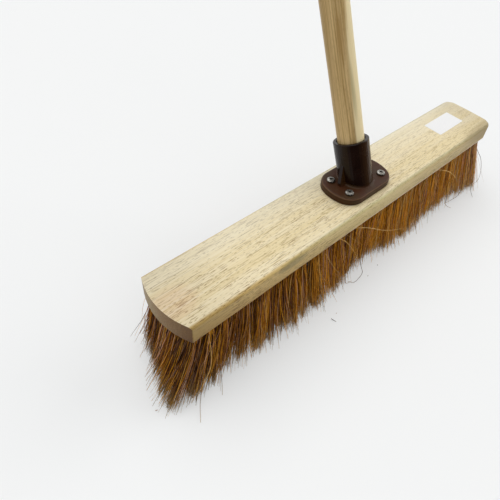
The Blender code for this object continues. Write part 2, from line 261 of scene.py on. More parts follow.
world = bpy.data.worlds.new("studio")
bpy.context.scene.world = world
world.use_nodes = True
tree = world.node_tree
ray = add_node(tree, "LightPath")
seen = add_node(
    tree, "Math",
    {0: ray.outputs["Is Camera Ray"], 1: ray.outputs["Is Glossy Ray"]}, operation="MAXIMUM",
)
direction = add_node(tree, "TexCoord")
towards_wall = add_node(
    tree, "VectorMath", {0: direction.outputs["Generated"], 1: room_side}, operation="DOT_PRODUCT",
)
wall = add_node(
    tree, "MapRange",
    {"Value": towards_wall, "From Min": white_wall_end, "From Max": dark_wall_start,
     "To Min": white_wall, "To Max": dark_wall},
    interpolation_type="SMOOTHSTEP",
)
backdrop = add_node(
    tree, "Mix",
    {"Factor": ray.outputs["Is Glossy Ray"], "A": white_wall, "B": wall}, data_type="FLOAT",
)
strength = add_node(
    tree, "Mix", {"Factor": seen, "A": sky_strength, "B": backdrop}, data_type="FLOAT",
)
set_inputs(tree, tree.nodes["Background"], {"Color": sky_colour, "Strength": strength})
bpy.context.scene.view_settings.view_transform = "Standard"
print("strength of the sky and of the white walls:", sky_strength, white_wall)

# %% [markdown]
# One large soft lamp stands high behind the broom and makes the top of the stock the
# brightest face. A weaker one on the right catches the right flank of the handle and of
# the socket. Two faint ones, in front and at the left rear, lift the bristles and the
# sawn end a little. These two aren't mirrored, which keeps the front of the socket dark.
#
# The table gives each lamp its name, the direction that its light comes from, its
# strength, how many degrees of the sky it fills, and whether it is mirrored.

# %% Lamps
lamps = (
    ("high_lamp", Vector((0.08, 0.42, 0.91)), 1.50, 60, True),
    ("right_lamp", Vector((0.85, -0.25, 0.45)), 1.00, 50, True),
    ("front_lamp", Vector((-0.35, -0.80, 0.50)), 0.48, 70, False),
    ("left_lamp", Vector((-0.75, 0.55, 0.35)), 0.30, 60, False),
)
for lamp_name, lamp_side, lamp_strength, spread, mirrored in lamps:
    lamp_data = bpy.data.lights.new(lamp_name, "SUN")
    lamp_data.energy = lamp_strength
    lamp_data.angle = math.radians(spread)
    lamp = bpy.data.objects.new(lamp_name, lamp_data)
    lamp.rotation_mode = "QUATERNION"
    lamp.rotation_quaternion = lamp_side.to_track_quat("Z", "Y")
    lamp.visible_glossy = mirrored
    bpy.context.scene.collection.objects.link(lamp)
print("lamps:", len(lamps))

# %% [markdown]
# ## Sanded hardwood
#
# The stock and the handle are cut from pale plantation hardwood, sanded and left
# without varnish. Such wood has slow bands of colour from the growth rings, fine grain
# lines, and pores cut open lengthwise, which show as short dark dashes.
#
# Both pieces share these layers, so four functions make them. The first makes the
# texture space, which has to lie along the wood, so it is told where the axis of the
# grain is and how it is turned. Grain is never quite straight, so a slow noise bends
# that space.

# %% The space of the grain
bend_length, bend_width, grain_bend = 220, 90, 0.003


def wood_place(tree, axis_place, axis_turn):
    """The texture space of a piece of wood: X runs along its grain, slightly bent."""
    coordinates = add_node(tree, "TexCoord")
    moved = add_node(
        tree, "VectorMath",
        {0: coordinates.outputs["Object"], 1: axis_place}, operation="SUBTRACT",
    )
    along = add_node(tree, "Mapping", {"Vector": moved, "Rotation": axis_turn})
    slow = add_node(tree, "Mapping", {"Vector": along, "Scale": stretch(bend_length, bend_width)})
    drift = add_node(tree, "TexNoise", {"Vector": slow, "Scale": 1.0, "Detail": 0.0})
    centred = add_node(
        tree, "VectorMath", {0: drift.outputs["Color"], 1: (0.5, 0.5, 0.5)}, operation="SUBTRACT",
    )
    return add_node(
        tree, "VectorMath",
        {0: centred, 1: (0, grain_bend, grain_bend), 2: along}, operation="MULTIPLY_ADD",
    )


# %% [markdown]
# The second function makes the layers. Bands and lines are noise that is stretched
# along the grain. Dashes need straight sides and ends, which noise can't give. There
# space is cut into long thin Voronoi cells, a dash is drawn round the middle of each
# cell, and only some cells keep theirs. Two tables give each layer its length and width
# in millimetres, and then the detail of a noise or the strength of a dash. Real pores
# are 0.3 mm wide. They are drawn two or three times as wide, or the picture would lose
# them.

# %% Bands, lines and dashes
band_length, band_detail = 260, 3.0
noise_layers = {
    "lines": (90, 1.3, 2.0),
    "crowding": (130, 18, 2.0),
}
dash_layers = {
    "long_dashes": (34, 1.0, 0.8),
    "short_dashes": (12, 0.9, 1.0),
    "flecks": (4.5, 0.8, 1.0),
}
dash_edge, dash_core = 0.48, 0.14
lines_share, pale_tone, dark_tone = 0.5, 0.36, 0.64
crowding_share = 0.6
least_luck, full_luck = 0.68, 1.10
print("layers of the wood:", 1 + len(noise_layers) + len(dash_layers))


def wood_layers(tree, place, ring_width, pale, dark, pore, pore_share):
    """The colour, the dashes and the grain lines of sawn wood, as three nodes."""
    noises = {}
    bands = {"bands": (band_length, ring_width, band_detail)}
    for name, (length, width, detail) in {**bands, **noise_layers}.items():
        stretched = add_node(tree, "Mapping", {"Vector": place, "Scale": stretch(length, width)})
        noises[name] = add_node(
            tree, "TexNoise", {"Vector": stretched, "Scale": 1.0, "Detail": detail},
        )
    tone = add_node(
        tree, "Mix",
        {"Factor": lines_share, "A": noises["bands"], "B": noises["lines"]}, data_type="FLOAT",
    )
    darkness = add_node(
        tree, "MapRange", {"Value": tone, "From Min": pale_tone, "From Max": dark_tone},
        interpolation_type="SMOOTHSTEP",
    )
    colour = add_node(
        tree, "Mix", {"Factor": darkness, "A": linear(pale), "B": linear(dark)}, data_type="RGBA",
    )
    for name, (length, width, share) in dash_layers.items():
        stretched = add_node(tree, "Mapping", {"Vector": place, "Scale": stretch(length, width)})
        cells = add_node(tree, "TexVoronoi", {"Vector": stretched, "Scale": 1.0})
        dash = add_node(
            tree, "MapRange",
            {"Value": cells.outputs["Distance"], "From Min": dash_edge, "From Max": dash_core},
            interpolation_type="SMOOTHSTEP",
        )
        luck = add_node(
            tree, "Math", {0: noises["crowding"], 1: crowding_share, 2: cells.outputs["Color"]},
            operation="MULTIPLY_ADD",
        )
        kept = add_node(
            tree, "MapRange",
            {"Value": luck, "From Min": least_luck, "From Max": full_luck, "To Max": share},
        )
        dashes = add_node(tree, "Math", {0: dash, 1: kept}, operation="MULTIPLY")
        dashes = add_node(tree, "Math", {0: dashes, 1: pore_share}, operation="MULTIPLY")
        colour = add_node(
            tree, "Mix", {"Factor": dashes, "A": colour, "B": linear(pore)}, data_type="RGBA",
        )
    return colour, dashes, noises["lines"]


# %% [markdown]
# The third function lays local marks over the wood, such as stains. Each is a soft ball,
# squeezed to its reach and broken up by the lines of the grain.

# %% Local marks
mark_start, mark_full = 0.02, 0.28


def wood_marks(tree, place, lines, colour, marks):
    """Lay marks over the wood's colour, each at its place and with its reach."""
    for mark_name, centre, reach, code, share in marks:
        scale = Vector((1 / reach.x, 1 / reach.y, 1 / reach.z))
        local = add_node(
            tree, "Mapping",
            {"Vector": place, "Location": -centre * scale, "Scale": scale}, label=mark_name,
        )
        ball = add_node(tree, "TexGradient", {"Vector": local}, gradient_type="SPHERICAL")
        broken = add_node(tree, "Math", {0: ball.outputs["Fac"], 1: lines}, operation="MULTIPLY")
        strength = add_node(
            tree, "MapRange",
            {"Value": broken, "From Min": mark_start, "From Max": mark_full, "To Max": share},
            interpolation_type="SMOOTHSTEP",
        )
        colour = add_node(
            tree, "Mix", {"Factor": strength, "A": colour, "B": linear(code)}, data_type="RGBA",
        )
    return colour


# %% [markdown]
# The fourth function feeds the shader. Sanded wood without varnish is dry, and its
# pores are sunk and rougher than the rest.

# %% A dry surface
wood_roughness, pore_roughness = 0.44, 0.2
wood_bump, pore_depth = 0.10, 0.0003


def wood_surface(tree, shader, colour, dashes, lines):
    """Feed the layers to the shader: colour, a dry surface, and pores that are sunk."""
    roughness = add_node(
        tree, "Math", {0: dashes, 1: pore_roughness, 2: wood_roughness}, operation="MULTIPLY_ADD",
    )
    height = add_node(tree, "Math", {0: lines, 1: dashes}, operation="SUBTRACT")
    bump = add_node(
        tree, "Bump", {"Strength": wood_bump, "Distance": pore_depth, "Height": height},
    )
    set_inputs(tree, shader, {
        "Base Color": colour, "Roughness": roughness, "Normal": bump,
        "IOR": 1.5, "Specular IOR Level": 0.3,
    })


# %% [markdown]
# ### The stock
#
# The top is open-pored at the left end and closer towards the right, so its dashes fade
# that way. Its far strip is paler, because it was nearer the bark. A few local marks are
# added: a blush of pinker wood near the left end, a grey smudge on the front edge, and
# painted shade on the right front corner, whose real top edge is rounded more widely.
# Each has a name, the place of its middle, its reach in each direction, its colour and
# its strength.

# %% Stock finish: the planed top
stock_ring_mm = 14
left_pores, right_pores = 0.92, 0.46
bark_waver = 0.012
bark_start, bark_full, bark_share = 0.010, 0.036, 0.42
stock_marks = (
    ("pink_blush", Vector((-0.240, -0.006, stock_top)), Vector((0.030, 0.022, 0.03)),
     "D8A884", 0.24),
    ("grey_smudge", Vector((-0.128, -0.0355, stock_top - 0.006)), Vector((0.026, 0.006, 0.007)),
     "77775C", 0.5),
    # painted shade: the real right front corner has a wider rounded top edge, which turns from the
    # light
    ("painted_corner_shade", Vector((0.222, -0.034, stock_top)), Vector((0.060, 0.013, 0.02)),
     "A08A5C", 0.5),
)

stock_material, tree, shader = new_material("rubberwood_planed")
place = wood_place(tree, head_centre, (0, 0, 0))
place_parts = add_node(tree, "SeparateXYZ", {0: place})
open_grain = add_node(
    tree, "MapRange",
    {"Value": place_parts.outputs["X"], "From Min": -stock_length / 2, "From Max": stock_length / 2,
     "To Min": left_pores, "To Max": right_pores},
)
colour, dashes, lines = wood_layers(
    tree, place, stock_ring_mm, "E8DBBA", "E0CEA0", "7C5A14", open_grain,
)
towards_bark = add_node(
    tree, "Math", {0: lines, 1: bark_waver, 2: place_parts.outputs["Y"]}, operation="MULTIPLY_ADD",
)
paler = add_node(
    tree, "MapRange",
    {"Value": towards_bark, "From Min": bark_start, "From Max": bark_full, "To Max": bark_share},
)
colour = add_node(
    tree, "Mix", {"Factor": paler, "A": colour, "B": linear("E6E2D0")}, data_type="RGBA",
)
colour = wood_marks(tree, place, lines, colour, stock_marks)
print("marks on the stock:", [mark[0] for mark in stock_marks])

# %% [markdown]
# The sawn ends show end grain, which drinks in light and looks darker than the planed
# top. The near and far sides are cut across the rings and are a warmer tan. Two ramps
# hold their tones, the one for the sides from left to right, and the one for the ends
# from near to far. The ramp of the sides also holds painted shade: it is darker at the
# left end, which lies in shade. The ramp of the ends also holds a painted reflection: it
# grows paler towards the far edge, which faces the white floor at a grazing angle. The
# geometry's own normal tells the three kinds of face apart, whatever the view. Two pairs
# of numbers say at which normal a side or an end starts and where it is full, so the
# rounded edges take a share of two kinds.

# %% Stock finish: the sawn sides and ends
# the sides' own warmer tan, with painted shade that darkens the left end
side_tones_and_shade = (
    (0.0, "D4BE8A"), (0.14, "EEDBAF"), (0.50, "FFFADA"), (0.62, "FEF6DA"), (1.0, "F6ECD2"),
)
# the ends' own dark end grain, with a painted reflection that pales the far edge
end_tones_and_reflection = ((0.0, "946F24"), (0.5, "B2954E"), (0.75, "C2AC7A"), (1.0, "C6B284"))
side_start, side_full = 0.02, 0.75
end_start, end_full = 0.30, 0.80

tints_and_painted_light = {}
for axis, reach, stops in (
    ("X", stock_length / 2, side_tones_and_shade), ("Y", stock_width / 2, end_tones_and_reflection),
):
    across = add_node(
        tree, "MapRange",
        {"Value": place_parts.outputs[axis], "From Min": -reach, "From Max": reach},
    )
    tints_and_painted_light[axis] = add_node(tree, "ValToRGB", {0: across})
    set_ramp(tints_and_painted_light[axis], stops)
facing = add_node(tree, "NewGeometry")
normal_parts = add_node(tree, "SeparateXYZ", {0: facing.outputs["Normal"]})
cuts = {}
# each tint multiplies the colour of its kind of face, painted shade and painted reflection included
for axis, start, full, tint_and_painted_light in (
    ("Y", side_start, side_full, tints_and_painted_light["X"]), ("X", end_start, end_full, tints_and_painted_light["Y"]),
):
    turned = add_node(tree, "Math", {0: normal_parts.outputs[axis]}, operation="ABSOLUTE")
    cuts[axis] = add_node(
        tree, "MapRange", {"Value": turned, "From Min": start, "From Max": full},
        interpolation_type="SMOOTHSTEP",
    )
    colour = add_node(
        tree, "Mix",
        {"Factor": cuts[axis], "A": colour, "B": tint_and_painted_light}, data_type="RGBA", blend_type="MULTIPLY",
    )
print("tones of the sides and of the ends:", len(side_tones_and_shade), len(end_tones_and_reflection))

# %% [markdown]
# The sides grow darker towards their bottom edge. The long rounded edges are tinted a
# cooler grey, except near the left end, and both ends of the stock are a little darker.
# Each of these multiplies the colour where it lies. The rounded edges are where the
# normal leans forwards or back, but not fully. Along the bottom edge of the sides a thin
# pale line is painted, which widens towards the right: a painted highlight, where the
# eased edge catches the light of the floor.

# %% Stock finish: darkening and a painted highlight
plain_depth = 0.007
edge_begins, edge_rounds = 0.05, 0.45
edge_flattens, edge_ends = 0.85, 0.99
plain_edge_end, grey_edge_start = -0.16, -0.06
dulled_start, dulled_full = 0.15, 0.25
arris_highlight_height, arris_highlight_slope = 0.0011, 0.005

# the sides grow darker towards their bottom edge
low_down = add_node(
    tree, "MapRange",
    {"Value": place_parts.outputs["Z"], "From Min": stock_top - plain_depth,
     "From Max": stock_underside},
)
forwards = add_node(tree, "Math", {0: normal_parts.outputs["Y"]}, operation="ABSOLUTE")
outwards = add_node(tree, "Math", {0: place_parts.outputs["X"]}, operation="ABSOLUTE")
# a painted highlight along the bottom edge of the sides, widening towards the right
arris_highlight_level = add_node(
    tree, "Math", {0: place_parts.outputs["X"], 1: -arris_highlight_slope, 2: place_parts.outputs["Z"]},
    operation="MULTIPLY_ADD",
)
fades = {}
for name, value, start, full in (
    ("edge_start", forwards, edge_begins, edge_rounds),
    ("edge_stop", forwards, edge_ends, edge_flattens),
    ("grey_edge_fade", place_parts.outputs["X"], plain_edge_end, grey_edge_start),
    ("dulled", outwards, dulled_start, dulled_full),
    ("rim", arris_highlight_level, stock_underside + arris_highlight_height, stock_underside + arris_highlight_height / 3),
):
    fades[name] = add_node(
        tree, "MapRange", {"Value": value, "From Min": start, "From Max": full},
        interpolation_type="SMOOTHSTEP",
    )
products = {}
for name, first, second in (
    ("darker_low", low_down, cuts["Y"]),
    ("rounded", fades["edge_start"], fades["edge_stop"]),
    ("side_arris_highlight", fades["rim"], cuts["Y"]),
):
    products[name] = add_node(tree, "Math", {0: first, 1: second}, operation="MULTIPLY")
# the long rounded edges, except near the left end, are tinted a cooler grey
grey_edges = add_node(
    tree, "Math", {0: fades["grey_edge_fade"], 1: products["rounded"]}, operation="MULTIPLY",
)
for amount, code in (
    (products["darker_low"], "E6DCCA"), (grey_edges, "EAF1FA"), (fades["dulled"], "EBEAE8"),
):
    colour = add_node(
        tree, "Mix",
        {"Factor": amount, "A": colour, "B": linear(code)}, data_type="RGBA", blend_type="MULTIPLY",
    )
# the painted highlight: a pale line where the eased bottom edge catches the floor's light
colour = add_node(
    tree, "Mix",
    {"Factor": products["side_arris_highlight"], "A": colour, "B": linear("FFF4DC")}, data_type="RGBA",
)
wood_surface(tree, shader, colour, dashes, lines)
wear("stock", stock_material)
print("nodes in the finish of the stock:", len(tree.nodes))

# %% [markdown]
# ### The handle
#
# The handle is turned from a darker, warmer stick of the same kind of wood. The X of its
# grain space starts at the foot of the handle and runs up its axis.

# %% Handle finish: the turned stick
handle_ring_mm, handle_pores = 5, 0.28
handle_axis_point = Vector((head_centre.x, head_centre.y, stock_top))
handle_material, tree, shader = new_material("hardwood_turned")
place = wood_place(tree, handle_axis_point, (handle_tilt, math.pi / 2, 0))
colour, dashes, lines = wood_layers(
    tree, place, handle_ring_mm, "DEC08A", "B29258", "7C5C34", handle_pores,
)
print("foot of the handle, mm:", [round(1000 * size, 1) for size in handle_axis_point])

# %% [markdown]
# The stick was cut near the bark, so the right side of the handle is pale sapwood. A
# flat plane parallel to the axis divides the two. Higher up it bends away to the right,
# so there the sapwood narrows to a point.

# %% Handle finish: sapwood
sapwood_start, sapwood_full, sapwood_share = 0.0105, 0.0145, 0.90
sapwood_waver = 0.009
sapwood_bend, bend_start, bend_end = 0.09, 0.140, 0.190

handle_axis = Vector((0, math.sin(handle_tilt), math.cos(handle_tilt)))
sapwood_side = (level_right - handle_axis * level_right.dot(handle_axis)).normalized()
coordinates = add_node(tree, "TexCoord")
moved = add_node(
    tree, "VectorMath",
    {0: coordinates.outputs["Object"], 1: handle_axis_point}, operation="SUBTRACT",
)
depth = add_node(tree, "VectorMath", {0: moved, 1: sapwood_side}, operation="DOT_PRODUCT")
along = add_node(tree, "SeparateXYZ", {0: place})
bent = add_node(
    tree, "MapRange",
    {"Value": along, "From Min": bend_start, "From Max": bend_end,
     "To Max": -sapwood_bend * (bend_end - bend_start)},
)
inset = add_node(tree, "Math", {0: depth, 1: bent}, operation="ADD")
wavering = add_node(tree, "Math", {0: lines, 1: sapwood_waver, 2: inset}, operation="MULTIPLY_ADD")
sapwood = add_node(
    tree, "MapRange",
    {"Value": wavering, "From Min": sapwood_start, "From Max": sapwood_full,
     "To Max": sapwood_share},
    interpolation_type="SMOOTHSTEP",
)
colour = add_node(
    tree, "Mix", {"Factor": sapwood, "A": colour, "B": linear("F6E4B4")}, data_type="RGBA",
)
print("side of the sapwood:", [round(part, 2) for part in sapwood_side])

# %% [markdown]
# A streak of brown gum, a greenish stain and a brown edge lie along the handle. Their
# places are in its grain space.

# %% Handle finish: marks
handle_marks = (
    ("gum_streak", Vector((0.146, -0.0115, 0.0080)), Vector((0.034, 0.0052, 0.0052)),
     "98702C", 0.42),
    ("green_stain", Vector((0.100, -0.0135, 0.0025)), Vector((0.050, 0.0040, 0.0040)),
     "7F7F55", 0.55),
    ("brown_edge", Vector((0.060, -0.0125, 0.0060)), Vector((0.060, 0.0030, 0.0030)),
     "86683A", 0.45),
)
colour = wood_marks(tree, place, lines, colour, handle_marks)
wood_surface(tree, shader, colour, dashes, lines)
wear("handle", handle_material)
print("marks on the handle:", [mark[0] for mark in handle_marks])

# %% [markdown]
# ## Brown moulded plastic
#
# The socket is injection-moulded polypropylene with a dark brown pigment. The mould was
# lightly spark-eroded, which leaves a fine pebble that spreads highlights, so the front
# of the tube looks almost black while its left flank keeps a sheen. The pigment has
# flowed in faint clouds. The real pebble is about 0.1 mm. It is drawn at 0.9 mm, or the
# picture would lose it.

# %% Plastic finish: the moulded surface
pebble_mm, flow_mm = 0.9, 14
pebble_bump, pebble_depth = 0.12, 0.0002
patch_start, patch_full = 0.35, 0.65
wear_start, wear_full = 0.3, 0.7
clean_roughness, dusty_roughness = (0.20, 0.30), 0.45

plastic_material, tree, shader = new_material("polypropylene_brown")
surface_place = add_node(tree, "TexCoord").outputs["Object"]
pebble = add_node(
    tree, "TexNoise", {"Vector": surface_place, "Scale": per_metre(pebble_mm), "Detail": 2.0},
)
flow = add_node(
    tree, "TexNoise", {"Vector": surface_place, "Scale": per_metre(flow_mm), "Detail": 3.0},
)
patchy = add_node(
    tree, "MapRange", {"Value": flow, "From Min": patch_start, "From Max": patch_full},
    interpolation_type="SMOOTHSTEP",
)
clean = add_node(
    tree, "Mix", {"Factor": patchy, "A": linear("190A05"), "B": linear("1E0D06")},
    data_type="RGBA",
)
worn = add_node(
    tree, "MapRange",
    {"Value": flow, "From Min": wear_start, "From Max": wear_full,
     "To Min": clean_roughness[0], "To Max": clean_roughness[1]},
)
bump = add_node(
    tree, "Bump", {"Strength": pebble_bump, "Distance": pebble_depth, "Height": pebble},
)
print("roughness of the clean plastic:", clean_roughness)

# %% [markdown]
# The right flank is painted a lighter brown: painted light, where the lamp at the right
# falls on it. The low flange is trodden and dusty, and reads as a lighter brown. Its
# upper edge is painted paler still: a painted highlight, where the rounded edge catches
# the light. That edge is where the normal is neither upright nor level, which two fades
# find, one from each side.

# %% Plastic finish: painted light, dust and a painted highlight
right_light_start, right_light_full = 0.25, 0.95
flange_top = stock_top + flange_thickness
dust_low, dust_high = flange_top + 0.0005, flange_top + 0.0035
edge_turns = ((0.98, 0.85), (0.40, 0.75))
edge_highlight_height, edge_highlight_share = 0.0005, 0.8

facing = add_node(tree, "NewGeometry")
# painted light: faces turned to the right, where the right lamp falls, get a lighter brown
facing_right = add_node(
    tree, "VectorMath", {0: facing.outputs["Normal"], 1: level_right}, operation="DOT_PRODUCT",
)
painted_right_light = add_node(
    tree, "MapRange", {"Value": facing_right, "From Min": right_light_start, "From Max": right_light_full},
    interpolation_type="SMOOTHSTEP",
)
place_parts = add_node(tree, "SeparateXYZ", {0: surface_place})
dust = add_node(
    tree, "MapRange",
    {"Value": place_parts.outputs["Z"], "From Min": dust_high, "From Max": dust_low},
    interpolation_type="SMOOTHSTEP",
)
dusty = add_node(
    tree, "Mix", {"Factor": patchy, "A": linear("3E2A12"), "B": linear("40200B")},
    data_type="RGBA",
)
# a painted highlight on the rounded upper edge of the flange, where it catches the light
painted_edge_highlight = add_node(
    tree, "MapRange",
    {"Value": place_parts.outputs["Z"], "From Min": flange_top + edge_highlight_height,
     "From Max": flange_top, "To Max": edge_highlight_share},
)
normal_parts = add_node(tree, "SeparateXYZ", {0: facing.outputs["Normal"]})
for start, full in edge_turns:
    turned = add_node(
        tree, "MapRange", {"Value": normal_parts.outputs["Z"], "From Min": start, "From Max": full},
    )
    painted_edge_highlight = add_node(tree, "Math", {0: painted_edge_highlight, 1: turned}, operation="MULTIPLY")
colour = clean
# painted light on the right flank, real dust on the flange, and a painted highlight on its edge
for amount, tint_and_painted_light in (
    (painted_right_light, linear("3A240E")), (dust, dusty), (painted_edge_highlight, linear("684C32")),
):
    colour = add_node(tree, "Mix", {"Factor": amount, "A": colour, "B": tint_and_painted_light}, data_type="RGBA")
roughness = add_node(
    tree, "Mix", {"Factor": dust, "A": worn, "B": dusty_roughness}, data_type="FLOAT",
)
set_inputs(tree, shader, {
    "Base Color": colour, "Roughness": roughness, "Normal": bump,
    "IOR": 1.49, "Specular IOR Level": 0.22,
})
wear("socket_bracket", plastic_material)
print("nodes in the finish of the socket:", len(tree.nodes))

# %% [markdown]
# ## Zinc-plated screws
#
# The screws are steel with a thin zinc plate that has gone dull grey. The plate is a
# metal, so its colour is its reflection. Handling dulls it further in small patches.

# %% Screw finish
patch_mm = 2.5
patch_start, dull_start, dull_full = 0.4, 0.35, 0.65
bright_roughness, dull_roughness = 0.35, 0.52
zinc_material, tree, shader = new_material("zinc_plated_steel")
coordinates = add_node(tree, "TexCoord")
dulling = add_node(
    tree, "TexNoise",
    {"Vector": coordinates.outputs["Object"], "Scale": per_metre(patch_mm), "Detail": 3.0},
)
patchy = add_node(
    tree, "MapRange", {"Value": dulling, "From Min": patch_start, "From Max": dull_full},
    interpolation_type="SMOOTHSTEP",
)
colour = add_node(
    tree, "Mix",
    {"Factor": patchy, "A": linear("A09D96"), "B": linear("7E7B74")}, data_type="RGBA",
)
roughness = add_node(
    tree, "MapRange",
    {"Value": dulling, "From Min": dull_start, "From Max": dull_full,
     "To Min": bright_roughness, "To Max": dull_roughness},
)
set_inputs(tree, shader, {"Base Color": colour, "Roughness": roughness, "Metallic": 1.0})
screws = [name for name in nodes if "screw" in name]
for name in screws:
    wear(name, zinc_material)
print("screws:", len(screws))

# %% [markdown]
# ## Coir
#
# Coir is the coarse brown fibre of coconut husk. Each fibre is a stiff, slightly wavy
# hair, thick at the root and thinner at the tip. It could be hair from a particle
# system, but a mesh can be exported and trimmed, so each fibre is a thin three-sided
# tube here. Real fibres are about 0.3 mm thick. Many are drawn thicker, because far
# fewer of them have to fill the brush.
#
# One tone per fibre is kept in an attribute of the mesh, with the share of the way from
# root to tip. The material turns the tone to a colour between dark brown and straw, and
# the last tenth of the tones is for fibres that keep their pinkish husk. The roots, deep
# between the tufts, are shaded, and the tips are dusty. For each of these two, four
# values say where on the way it starts and where it is full, its strength and colour.

# %% Coir finish
coir_tones = (
    (0.0, "42240F"), (0.25, "B06E20"), (0.47, "F0A62A"), (0.72, "F6B23C"), (0.84, "F6CE84"),
    (0.90, "EABC9A"), (1.0, "B47C64"),
)
lightest_tone, first_husk_tone = 0.84, 0.90
root_shade, tip_dust = (0.22, 0.0, 0.26, "3A1C12"), (0.72, 1.0, 0.38, "F4D08A")
root_roughness, tip_roughness = 0.45, 0.7

coir_material, tree, shader = new_material("coir_fibre")
tone = add_node(tree, "Attribute", attribute_name="fibre_tone")
way = add_node(tree, "Attribute", attribute_name="fibre_way")
ramp = add_node(tree, "ValToRGB", {0: tone.outputs["Fac"]})
set_ramp(ramp, coir_tones)
colour = ramp
for start, full, share, code in (root_shade, tip_dust):
    amount = add_node(
        tree, "MapRange",
        {"Value": way.outputs["Fac"], "From Min": start, "From Max": full, "To Max": share},
    )
    colour = add_node(
        tree, "Mix", {"Factor": amount, "A": colour, "B": linear(code)}, data_type="RGBA",
    )
roughness = add_node(
    tree, "MapRange",
    {"Value": way.outputs["Fac"], "To Min": root_roughness, "To Max": tip_roughness},
)
set_inputs(tree, shader, {
    "Base Color": colour, "Roughness": roughness, "IOR": 1.5, "Specular IOR Level": 0.15,
})
print("tones of the coir:", len(coir_tones))

# %% [markdown]
# The tufts stand where the CAD has them, in 17 columns and three rows. Each CAD tuft
# stands for four real ones, so each is replaced by two by two smaller bundles. The fibre
# leaves its hole in a tight bundle and spreads towards the tips, and at the ends and
# along the sides it leans outwards. Bundles on the outside of the brush get most of the
# fibres, because the inner ones hardly show. Fibres that keep their husk are rare, but
# nearly all of those at the right end do.

# %% Sizes of the bristles
tuft_columns = 17
row_names = ("near", "middle", "far")
tuft_end_margin, right_margin = 0.022, 0.026
tuft_side_margin = 0.012
root_depth = 0.001
pitch_x = (stock_length - 2 * tuft_end_margin) / (tuft_columns - 1)
pitch_y = (stock_width - 2 * tuft_side_margin) / (len(row_names) - 1)
bundle_radius = 0.0055
outer_fibres, inner_fibres = 266, 56
clumps_per_bundle = 14
fibre_radius, coarse_radius = (0.00015, 0.00031), (0.00034, 0.00050)
coarse_share = 0.07
husk_share, left_husk_share = (0.05, 1.0), 0.1
fibre_points = 6
print("tuft pitch, mm:", round(1000 * pitch_x, 1), round(1000 * pitch_y, 1))

# %% [markdown]
# The brush has about thirty thousand fibres. An object for each would be very slow, so
# a small class collects the fibres of a tuft as plain lists of points and faces, and
# makes one mesh of them at the end. Points that would lie below the floor are lifted
# onto it, because the real tips bend there.

# %% Fibre meshes
# Any direction that no fibre runs in, to start its three sides from
skew = Vector((0.3, 0.9, 0.1))
tip_taper = 0.5


class FibreMesh:
    """Collects fibres as three-sided tubes with a tone and a way share at each vertex."""

    def __init__(self):
        self.points, self.faces, self.tones, self.ways = [], [], [], []

    def add(self, path, radius, tone, turn):
        """Sweep one fibre along a list of points. It tapers to half at its tip."""
        first = len(self.points)
        count = len(path)
        for i, point in enumerate(path):
            ahead = path[min(i + 1, count - 1)] - path[max(i - 1, 0)]
            side = ahead.cross(skew).normalized()
            other = ahead.cross(side).normalized()
            share = i / (count - 1)
            reach = radius * (1 - tip_taper * share ** 2)
            for k in range(3):
                angle = turn + math.tau * k / 3
                corner = point + (side * math.cos(angle) + other * math.sin(angle)) * reach
                corner.z = max(corner.z, 0)
                self.points.append(corner)
                self.tones.append(tone)
                self.ways.append(share)
        for i in range(count - 1):
            a, b = first + 3 * i, first + 3 * i + 3
            for k in range(3):
                m = (k + 1) % 3
                self.faces.append((a + k, a + m, b + m, b + k))
        last = first + 3 * (count - 1)
        self.faces.append((first + 2, first + 1, first))
        self.faces.append((last, last + 1, last + 2))

    def build(self, name):
        """Make one smooth coir object of all the fibres."""
        mesh = bpy.data.meshes.new(name)
        mesh.from_pydata(self.points, [], self.faces)
        for label, values in (("fibre_tone", self.tones), ("fibre_way", self.ways)):
            mesh.attributes.new(label, "FLOAT", "POINT").data.foreach_set("value", values)
        mesh.shade_smooth()
        mesh.materials.append(coir_material)
        piece = bpy.data.objects.new(name, mesh)
        bpy.context.scene.collection.objects.link(piece)
        return piece


# %% [markdown]
# The brush has been pressed on its left front corner, so the fibre there leans out most.
# The right end is fuller halfway down than at its tips. Along the front, storage has
# bent the fibre into a few slow waves. A table gives them: places along the head as
# shares of its half length, and how far the tips are pushed forward.

# %% How the brush is bent
end_flare, side_flare, rear_corner_flare = 0.023, 0.007, 0.009
right_press, left_press, left_twist = 0.55, 1.12, 0.85
front_reach = 1.2
front_waves = (
    (-1.0, 0.001), (-0.94, 0.002), (-0.90, 0.008), (-0.85, 0.009), (-0.80, 0.003),
    (-0.66, 0.007), (-0.44, 0.012), (-0.34, 0.008), (-0.26, 0.008), (-0.16, 0.005),
    (-0.06, -0.001), (0.05, -0.001), (0.12, 0.004), (0.22, 0.008), (0.36, 0.006),
    (0.44, 0.003), (0.58, 0.004), (0.67, 0.001), (0.76, 0.006), (0.86, 0.012), (1.0, 0.009),
)


def wave_at(end):
    """The push at a place along the head, between the two nearest places of the table."""
    for (start, low), (stop, high) in zip(front_waves, front_waves[1:]):
        if end <= stop:
            return low + (high - low) * (end - start) / (stop - start)
    return front_waves[-1][1]


def flare_at(x, y):
    """How far the tips lean out from their roots at a place on the head."""
    end = x / (stock_length / 2)
    side = y / (stock_width / 2)
    press = right_press if end > 0 else left_press - left_twist * side
    rear_corner = rear_corner_flare * max(-end, 0) ** 8 if side > 0 else 0
    push = wave_at(end) * min(front_reach * max(-side, 0), 1) ** 2
    return Vector((
        end_flare * press * end ** 3,
        (side_flare + rear_corner) * side ** 3 - push,
        0,
    ))


corner_lean = flare_at(-stock_length / 2, -stock_width / 2)
print("lean at the left front corner, mm:", [round(1000 * size, 1) for size in corner_lean])

# %% [markdown]
# A fibre's path goes from its root to its tip on a curve that leaves the wood straight
# and leans more and more. A slow bow and a small wave keep neighbours from looking
# combed. The head is trimmed flat on the floor, so tips end a little above it or on it.

# %% Paths of fibres
lean_power, wave_turn = 1.35, 7.0


